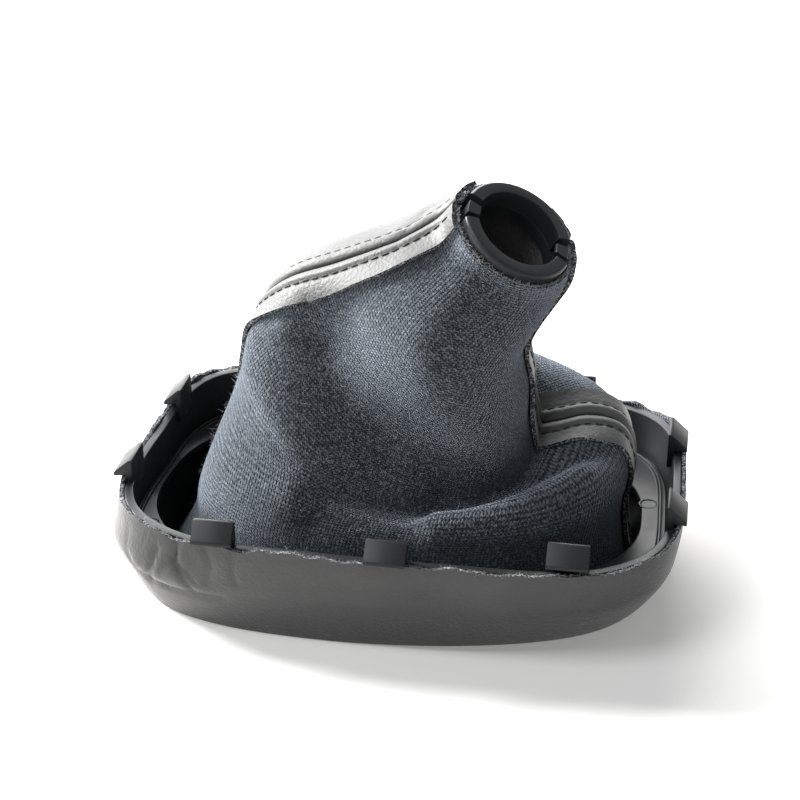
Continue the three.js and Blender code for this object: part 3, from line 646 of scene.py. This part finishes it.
def laid_back(panel, normals, lengths, edge, toward, shares, seed, widths):
    # The allowance of one seam: points and normals from its fold to its free edge, per row.
    wide = np.array([smooth(widths, share) for share in shares])
    rows = range(len(shares))
    ragged = np.array([edge_unevenness * noise.noise(Vector((r * 0.11, seed, 7.7))) for r in rows])
    span = np.linspace(0, 1, near_columns)[None, :]
    distance = fold_reach + (wide + ragged - fold_reach)[:, None] * span
    first = lengths[:, [edge]]
    wanted = first + (distance - fold_reach) * toward
    under = at_distance(normals, lengths, wanted)
    base = at_distance(panel, lengths, wanted)
    wave = np.array([noise.noise(Vector((r * 0.045, seed, 0.3))) for r in rows])
    lift = edge_lift + edge_lift_more * np.clip(wave + 0.35, 0, 1)
    roll = roll_height * np.exp(-(((distance - roll_from_fold) / 0.9) ** 2))
    pull = -topstitch_pull * np.exp(-(((distance - topstitch_from_fold) / 0.6) ** 2))
    lift = lift * (1 - soft_step(0.86, 0.98, shares))
    roll = roll * (1 - soft_step(0.9, 1, shares))[:, None]
    free = lift[:, None] * soft_step(4.5, 11, distance)
    height = 2 * fold_radius + roll + pull + free
    places = base + under * height[..., None]
    out = normals[:, edge]
    away = panel[:, edge] - panel[:, edge + toward]
    away /= np.maximum(np.linalg.norm(away, axis=-1, keepdims=True), 1e-9)
    hub = panel[:, edge] + out * fold_radius
    folds, fold_normals = [], []
    for angle in fold_angles:
        turn = math.radians(angle)
        spoke = out * -math.cos(turn) + away * math.sin(turn)
        folds.append(hub + spoke * fold_radius)
        fold_normals.append(-spoke)
    points = np.concatenate([np.stack(folds, 1), places], axis=1)
    directions = np.concatenate([np.stack(fold_normals, 1), -under], axis=1)
    return points, directions


def cover_piece(name, side, seed, left_widths, right_widths):
    # The whole panel as a closed sheet: its knit outside, its foil inside and its cut edges.
    sign = 1 if side == "front" else -1
    panel, normals, lengths, flat_u, flat_v, sleeve, shares = cover_grid(side)
    last = panel.shape[1] - 1
    left, left_normals = laid_back(panel, normals, lengths, 0, 1, shares, seed, left_widths)
    right, right_normals = laid_back(panel, normals, lengths, last, -1, shares, seed + 5, right_widths)
    grid = np.concatenate([left[:, ::-1], panel, right], axis=1)
    directions = np.concatenate([left_normals[:, ::-1], normals, right_normals], axis=1)
    folded = left.shape[1]
    beside = np.arange(1, folded + 1) * 0.6
    u = np.concatenate([flat_u[:, :1] - beside[::-1], flat_u, flat_u[:, -1:] + beside], axis=1)
    rows, columns = grid.shape[:2]
    holds = np.ones((rows - 1, columns - 1), bool)
    low = shares[:-1] <= allowance_start
    holds[low, :folded] = False
    holds[low, folded + last:] = False
    both = np.concatenate([grid + directions * cover_half, grid - directions * cover_half]).reshape(-1, 3)
    faces, looks, coordinates = [], [], []
    stride = rows * columns

    def put(a, b, c, d, look, cells):
        faces.append((a, b, c, d) if sign > 0 else (d, c, b, a))
        looks.append(look)
        coordinates.extend(cells if sign > 0 else cells[::-1])

    for r in range(rows - 1):
        for c in range(columns - 1):
            if not holds[r, c]:
                continue
            a = r * columns + c
            b, d, e = a + 1, a + columns, a + columns + 1
            cells = ((r, c), (r, c + 1), (r + 1, c + 1), (r + 1, c))
            corners = [(u[cell], flat_v[cell[0]]) for cell in cells]
            turned = [corners[k] for k in (0, 3, 2, 1)]
            put(a, b, e, d, 0, corners)
            put(stride + a, stride + d, stride + e, stride + b, 1, turned)
            if r == 0 or not holds[r - 1, c]:
                put(a, stride + a, stride + b, b, 2, corners)
            if r == rows - 2 or not holds[r + 1, c]:
                put(d, e, stride + e, stride + d, 2, corners)
            if c == 0 or not holds[r, c - 1]:
                put(a, d, stride + d, stride + a, 2, corners)
            if c == columns - 2 or not holds[r, c + 1]:
                put(b, stride + b, stride + e, e, 2, corners)
    used = sorted({k for face in faces for k in face})
    place_of = {k: n for n, k in enumerate(used)}
    mesh = bpy.data.meshes.new(name)
    places = [to_metres @ Vector(both[k]) for k in used]
    mesh.from_pydata(places, [], [tuple(place_of[k] for k in face) for face in faces])
    cloth_map = mesh.uv_layers.new(name="cloth")
    cloth_map.data.foreach_set("uv", [0.001 * float(c) for pair in coordinates for c in pair])
    mesh.polygons.foreach_set("material_index", looks)
    mesh.polygons.foreach_set("use_smooth", [True] * len(faces))
    for look in (knit, leatherette, cut_edge):
        mesh.materials.append(look)
    piece = bpy.data.objects.new(name, mesh)
    bpy.context.collection.objects.link(piece)
    shape = bmesh.new()
    shape.from_mesh(mesh)
    for edge in shape.edges:
        if len(edge.link_faces) == 2 and edge.calc_face_angle(0) > math.radians(50):
            edge.smooth = False
    shape.to_mesh(mesh)
    shape.free()
    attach(piece, "root")
    cells = np.linalg.norm(
        np.cross(grid[1:, :-1] - grid[:-1, :-1], grid[:-1, 1:] - grid[:-1, :-1]), axis=-1
    )
    area = float((cells * holds).sum()) * 1e-6
    data = {"panel": panel, "normals": normals, "shares": shares, "sleeve": sleeve}
    data |= {"left": left, "left_ways": left_normals, "right": right, "right_ways": right_normals}
    return piece, area, data


# The leatherette's grained face, with pores, fine creases and patches of cracks.
leatherette, nodes, links, shader = new_finish("leatherette", (0.016, 0.0168, 0.0175), 0.5)
place = add_node(nodes, links, "TexCoord").outputs["Object"]
pores = add_node(nodes, links, "TexVoronoi", {"Vector": place, "Scale": 1100, "Randomness": 1})
wrinkles = {"Vector": place, "Scale": 160, "Detail": 5, "Roughness": 0.6}
wrinkles = add_node(nodes, links, "TexNoise", wrinkles)
broad = add_node(nodes, links, "TexNoise", {"Vector": place, "Scale": 55, "Detail": 2})
grain = {0: pores.outputs["Distance"], 1: 0.6, 2: wrinkles.outputs["Fac"]}
grain = add_node(nodes, links, "Math", grain, operation="MULTIPLY_ADD")
bent = add_node(nodes, links, "TexNoise", {"Vector": place, "Scale": 260, "Detail": 3})
bend = {0: bent.outputs["Color"], 1: (0.004, 0.004, 0.004)}
bent_place = add_node(nodes, links, "VectorMath", bend, operation="MULTIPLY")
bent_place = add_node(nodes, links, "VectorMath", {0: place, 1: bent_place.outputs[0]}, operation="ADD")
cracks = {"Vector": bent_place.outputs[0], "Scale": 620}
cracks = add_node(nodes, links, "TexVoronoi", cracks, feature="DISTANCE_TO_EDGE")
crack_depth = {"Value": cracks.outputs["Distance"], "From Min": 0, "From Max": 0.16}
crack_depth |= {"To Min": -1, "To Max": 0}
crack_depth = add_node(nodes, links, "MapRange", crack_depth)
patches = add_node(nodes, links, "TexNoise", {"Vector": place, "Scale": 42, "Detail": 2})
patches = {"Value": patches.outputs["Fac"], "From Min": 0.47, "From Max": 0.62}
patches = add_node(nodes, links, "MapRange", patches)
crack_depth = {0: crack_depth.outputs[0], 1: patches.outputs[0]}
crack_depth = add_node(nodes, links, "Math", crack_depth, operation="MULTIPLY")
crack_bump = {"Height": crack_depth.outputs[0], "Strength": 0.35, "Distance": 0.00014}
crack_bump = add_node(nodes, links, "Bump", crack_bump)
bump = {"Height": grain.outputs[0], "Strength": 0.7, "Distance": 0.00017, "Normal": crack_bump.outputs[0]}
bump = add_node(nodes, links, "Bump", bump)
gloss = {"Value": broad.outputs["Fac"], "From Min": 0.3, "From Max": 0.7, "To Min": 0.5, "To Max": 0.62}
gloss = add_node(nodes, links, "MapRange", gloss)
links.new(gloss.outputs["Result"], shader.inputs["Roughness"])
links.new(bump.outputs["Normal"], shader.inputs["Normal"])
shader.inputs["Sheen Weight"].default_value = 0.3
shader.inputs["Sheen Roughness"].default_value = 0.4
shader.inputs["Specular IOR Level"].default_value = 0.55

# Its backing: a knit of grey and black yarn, with ribs and slanting loops laid out on the cloth, and painted
# shade darkening the hollows between them.
knit, nodes, links, shader = new_finish("knit_backing", (0.05, 0.06, 0.07), 0.95)
wale_pitch = 0.00092
course_pitch = 0.00078
flat_place = add_node(nodes, links, "UVMap", uv_map="cloth").outputs["UV"]
flat_parts = add_node(nodes, links, "SeparateXYZ", {"Vector": flat_place})
wale = add_node(nodes, links, "Math", {0: flat_parts.outputs["X"], 1: 1 / wale_pitch}, operation="MULTIPLY")
wale_share = add_node(nodes, links, "Math", {0: wale.outputs[0]}, operation="FRACT")
from_rib = add_node(nodes, links, "Math", {0: wale_share.outputs[0], 1: 0.5}, operation="SUBTRACT")
beside_rib = add_node(nodes, links, "Math", {0: from_rib.outputs[0]}, operation="ABSOLUTE")
rib_fall = add_node(nodes, links, "Math", {0: beside_rib.outputs[0], 1: 2, 2: 0}, operation="MULTIPLY_ADD")
course = {0: flat_parts.outputs["Y"], 1: 2 * math.pi / course_pitch, 2: 0}
course = add_node(nodes, links, "Math", course, operation="MULTIPLY_ADD")
course_slant = {0: rib_fall.outputs[0], 1: math.pi, 2: course.outputs[0]}
course_slant = add_node(nodes, links, "Math", course_slant, operation="MULTIPLY_ADD")
loops = add_node(nodes, links, "Math", {0: course_slant.outputs[0]}, operation="SINE")
rib = add_node(nodes, links, "Math", {0: rib_fall.outputs[0], 1: rib_fall.outputs[0]}, operation="MULTIPLY")
place = add_node(nodes, links, "TexCoord").outputs["Object"]
fuzz = add_node(nodes, links, "TexNoise", {"Vector": place, "Scale": 1500, "Detail": 3, "Roughness": 0.7})
mottle = add_node(nodes, links, "TexNoise", {"Vector": place, "Scale": 1300, "Detail": 2, "Roughness": 0.6})
height = {0: loops.outputs[0], 1: 0.3, 2: fuzz.outputs["Fac"]}
height = add_node(nodes, links, "Math", height, operation="MULTIPLY_ADD")
height = {0: rib.outputs[0], 1: -0.7, 2: height.outputs[0]}
height = add_node(nodes, links, "Math", height, operation="MULTIPLY_ADD")
bump = add_node(nodes, links, "Bump", {"Height": height.outputs[0], "Strength": 1, "Distance": 0.0004})
# Colour: the mottle mixes the grey and black yarn. The loops and ribs add painted shade, darker in the hollows
# between them and paler on their crowns.
yarn_and_shade_share = {0: mottle.outputs["Fac"], 1: 3, 2: -1.2}
yarn_and_shade_share = add_node(nodes, links, "Math", yarn_and_shade_share, operation="MULTIPLY_ADD")
yarn_and_shade_share = {0: loops.outputs[0], 1: 0.3, 2: yarn_and_shade_share.outputs[0]}
yarn_and_shade_share = add_node(nodes, links, "Math", yarn_and_shade_share, operation="MULTIPLY_ADD")
yarn_and_shade_share = {0: rib.outputs[0], 1: -0.25, 2: yarn_and_shade_share.outputs[0]}
yarn_and_shade_share = add_node(nodes, links, "Math", yarn_and_shade_share, operation="MULTIPLY_ADD")
yarn_and_shade_color = add_node(nodes, links, "Mix", {"Factor": yarn_and_shade_share.outputs[0]}, data_type="RGBA")
yarn_and_shade_color.inputs[6].default_value = (0.006, 0.009, 0.013, 1)
yarn_and_shade_color.inputs[7].default_value = (0.15, 0.168, 0.185, 1)
links.new(yarn_and_shade_color.outputs[2], shader.inputs["Base Color"])
links.new(bump.outputs["Normal"], shader.inputs["Normal"])
shader.inputs["Sheen Weight"].default_value = 0.5
shader.inputs["Sheen Roughness"].default_value = 0.45
shader.inputs["Sheen Tint"].default_value = (0.75, 0.85, 1, 1)
shader.inputs["Specular IOR Level"].default_value = 0.15

# Its raw edges: dark foil and pale ends of yarn, speckled.
cut_edge, nodes, links, shader = new_finish("cut_edge", (0.1, 0.1, 0.1), 0.9)
place = add_node(nodes, links, "TexCoord").outputs["Object"]
ends = add_node(nodes, links, "TexNoise", {"Vector": place, "Scale": 1900, "Detail": 2, "Roughness": 0.6})
speck = {"Value": ends.outputs["Fac"], "From Min": 0.5, "From Max": 0.64}
speck = add_node(nodes, links, "MapRange", speck)
ends_color = add_node(nodes, links, "Mix", {"Factor": speck.outputs[0]}, data_type="RGBA")
ends_color.inputs[6].default_value = (0.02, 0.021, 0.023, 1)
ends_color.inputs[7].default_value = (0.4, 0.41, 0.42, 1)
ragged = add_node(nodes, links, "Bump", {"Height": ends.outputs["Fac"], "Strength": 1, "Distance": 0.0006})
links.new(ends_color.outputs[2], shader.inputs["Base Color"])
links.new(ragged.outputs["Normal"], shader.inputs["Normal"])
shader.inputs["Specular IOR Level"].default_value = 0.2

front_cover, front_area, front_data = cover_piece(
    "front_cover", "front", 1.7, [9.5, 9.5, 9.5, 9.8, 8.4, 8.8, 8.5], [8.5, 8.5, 8.5, 8.5, 9]
)
rear_cover, rear_area, rear_data = cover_piece("rear_cover", "rear", 9.2, [10.5, 10.5, 10], [8.5, 8.5, 9])
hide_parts("front_panel")
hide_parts("rear_panel")

# Sewing thread: a topstitch row on each allowance, which holds it back, and a row in the groove of
# each seam, which joins the panels. Every stitch is a short round piece of black thread that dips
# into the cover at both ends.
topstitch = {"pitch": 2.9, "length": 2.3, "radius": 0.2, "dip": 0.45}
groove_stitch = {"pitch": 3.0, "length": 2.2, "radius": 0.22, "dip": 0.3}
stitch_rings = 6
thread_sides = 6


def along_line(line):
    steps = np.linalg.norm(np.diff(line, axis=0), axis=1)
    return np.concatenate([[0], np.cumsum(steps)])


def add_stitches(shape, line, ups, pitch, length, radius, dip):
    along = along_line(line)
    for n, mark in enumerate(np.arange(pitch, along[-1] - pitch / 2, pitch)):
        uneven = noise.noise(Vector((n * 0.7, float(line[0, 0]), 2.2)))
        span = length * (1 + 0.12 * uneven)
        stations = np.linspace(mark - span / 2, mark + span / 2, stitch_rings)
        centres = np.stack([np.interp(stations, along, line[:, k]) for k in range(3)], axis=-1)
        upward = np.stack([np.interp(stations, along, ups[:, k]) for k in range(3)], axis=-1)
        upward /= np.linalg.norm(upward, axis=-1, keepdims=True)
        t = np.linspace(-1, 1, stitch_rings)
        centres = centres + upward * (dip * (1 - t**4) - dip)[:, None]
        ahead = np.gradient(centres, axis=0)
        ahead /= np.linalg.norm(ahead, axis=-1, keepdims=True)
        side = np.cross(upward, ahead)
        side /= np.linalg.norm(side, axis=-1, keepdims=True)
        over = np.cross(ahead, side)
        frames = []
        for k in range(stitch_rings):
            size = radius * (0.75 if k in (0, stitch_rings - 1) else 1)
            turned = Matrix((side[k], over[k], ahead[k])).transposed().to_4x4()
            frames.append(Matrix.Translation(centres[k]) @ turned @ Matrix.Scale(size, 4))
        made = bmesh.ops.create_circle(
            shape, cap_ends=True, radius=1, segments=thread_sides, matrix=frames[0]
        )
        end = made["verts"][0].link_faces[0]
        for here, there in zip(frames, frames[1:]):
            end = far_face(bmesh.ops.extrude_face_region(shape, geom=[end])["geom"], thread_sides)
            bmesh.ops.transform(shape, matrix=there @ here.inverted(), verts=list(end.verts))


def sewn_rows(data):
    return data["shares"] > allowance_start + 0.01


def on_allowance(data, which, distance, height):
    # A line on the flat part of an allowance, beyond its fold, and the way up from it.
    rows, flat = sewn_rows(data), len(fold_angles)
    points = data[which][rows][:, flat:]
    normals = -data[which + "_ways"][rows][:, flat:]
    steps = np.linalg.norm(np.diff(points, axis=1), axis=-1)
    along = fold_reach + np.concatenate([np.zeros((len(points), 1)), np.cumsum(steps, axis=1)], axis=1)
    line = at_distance(points, along, np.full((len(points), 1), distance))[:, 0]
    ups = at_distance(normals, along, np.full((len(points), 1), distance))[:, 0]
    return line + ups * height, ups


thread, *_, shader = new_finish("thread", (0.008, 0.008, 0.009), 0.6)
shader.inputs["Specular IOR Level"].default_value = 0.3
for seam in ("left", "right"):
    grooves = []
    for side, data in (("front", front_data), ("rear", rear_data)):
        line, ups = on_allowance(data, seam, topstitch_from_fold, cover_half + 0.12)
        row_shape = bmesh.new()
        add_stitches(row_shape, line, ups, **topstitch)
        piece = finished_piece(row_shape, f"{seam}_seam_{side}_stitches", thread, 60)
        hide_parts(f"{seam}_seam_{side}_topstitch")
        rows = sewn_rows(data)
        grooves.append((data[seam][rows][:, 1], -data[seam + "_ways"][rows][:, len(fold_angles)]))
    line = (grooves[0][0] + grooves[1][0]) / 2
    ups = grooves[0][1] + grooves[1][1]
    ups /= np.linalg.norm(ups, axis=-1, keepdims=True)
    row_shape = bmesh.new()
    add_stitches(row_shape, line, ups, **groove_stitch)
    piece = finished_piece(row_shape, f"{seam}_seam_stitches", thread, 60)
    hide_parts(f"{seam}_seam_thread")

# Loose fibres of the cut edges: pale yarn of the backing, on the wall, at the free edges of the
# allowances and round the sleeve's mouth. Each is a thin tapered ribbon rooted in the edge.
ribbon_faces = ((0, 1, 3, 2), (2, 3, 5, 4), (4, 5, 6))
ribbon_points = 7
fibre_half_width = 0.05
hair_half_width = 0.045
fibre_turns = np.random.default_rng(4)


def ribbon(root, aim, bend, size, half_width):
    aim = aim / np.linalg.norm(aim)
    wide = np.cross(aim, fibre_turns.normal(0, 1, 3))
    wide *= half_width / np.linalg.norm(wide)
    points = []
    for k in range(3):
        t = k / 3
        centre = root + aim * size * t + bend * size * t * t * 0.6
        points += [centre - wide * (1 - 0.5 * t), centre + wide * (1 - 0.5 * t)]
    points.append(root + aim * size + bend * size * 0.6)
    return points


def fibres(line, outward, per_mm, length, spread):
    along = along_line(line)
    ribbons = []
    for mark in fibre_turns.uniform(0, along[-1], int(along[-1] * per_mm)):
        root = np.array([np.interp(mark, along, line[:, k]) for k in range(3)])
        out = np.array([np.interp(mark, along, outward[:, k]) for k in range(3)])
        aim = out / np.linalg.norm(out) + fibre_turns.normal(0, spread, 3)
        aim /= np.linalg.norm(aim)
        root = root + fibre_turns.normal(0, 0.2, 3) - aim * 0.15
        size = length * fibre_turns.uniform(0.3, 1.4)
        ribbons.append(ribbon(root, aim, fibre_turns.normal(0, 0.6, 3), size, fibre_half_width))
    return ribbons


def fibre_mesh_piece(name, ribbons, look):
    points = [to_metres @ Vector(place) for places in ribbons for place in places]
    faces = []
    for n in range(len(ribbons)):
        faces += [tuple(ribbon_points * n + k for k in face) for face in ribbon_faces]
    mesh = bpy.data.meshes.new(name)
    mesh.from_pydata(points, [], faces)
    mesh.polygons.foreach_set("use_smooth", [True] * len(faces))
    mesh.materials.append(look)
    piece = bpy.data.objects.new(name, mesh)
    bpy.context.collection.objects.link(piece)
    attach(piece, "root")
    return piece


edge_ribbons = []
for data in (front_data, rear_data):
    panel = data["panel"]
    edge_ribbons += fibres(panel[0], panel[0] - panel[3], per_mm=14, length=0.7, spread=1.3)
    edge_ribbons += fibres(panel[-1], panel[-1] - panel[-4], per_mm=22, length=1.0, spread=0.8)
    for seam in ("left", "right"):
        edge = data[seam][sewn_rows(data)]
        edge_ribbons += fibres(edge[:, -1], edge[:, -1] - edge[:, -3], per_mm=6, length=0.6, spread=0.9)
fibre_look, *_, shader = new_finish("cut_fibres", (0.36, 0.37, 0.38), 0.9)
shader.inputs["Specular IOR Level"].default_value = 0.2
fibre_piece = fibre_mesh_piece("cut_edge_fibres", edge_ribbons, fibre_look)

# Nap of the knitted backing: short loose grey hairs all over the sleeve, between the allowances.
# They are made as the fibres are, with their roots in the knit.
hairs_per_panel = 4200
beside_allowance = near_columns + 2
nap_ribbons = []
for data in (front_data, rear_data):
    rows = np.flatnonzero(data["sleeve"] & (data["shares"] > 0.05))
    for _ in range(hairs_per_panel):
        r = rows[fibre_turns.integers(0, len(rows) - 1)]
        c = fibre_turns.integers(beside_allowance, data["panel"].shape[1] - beside_allowance)
        root = data["panel"][r, c] + data["normals"][r, c] * cover_half + fibre_turns.normal(0, 0.3, 3)
        aim = data["normals"][r, c] * 0.8 + fibre_turns.normal(0, 0.6, 3)
        size = fibre_turns.uniform(0.5, 1.5)
        nap_ribbons.append(ribbon(root, aim, fibre_turns.normal(0, 0.7, 3), size, hair_half_width))
nap_look, *_, shader = new_finish("nap", (0.2, 0.225, 0.25), 0.9)
shader.inputs["Specular IOR Level"].default_value = 0.2
nap_piece = fibre_mesh_piece("backing_nap", nap_ribbons, nap_look)
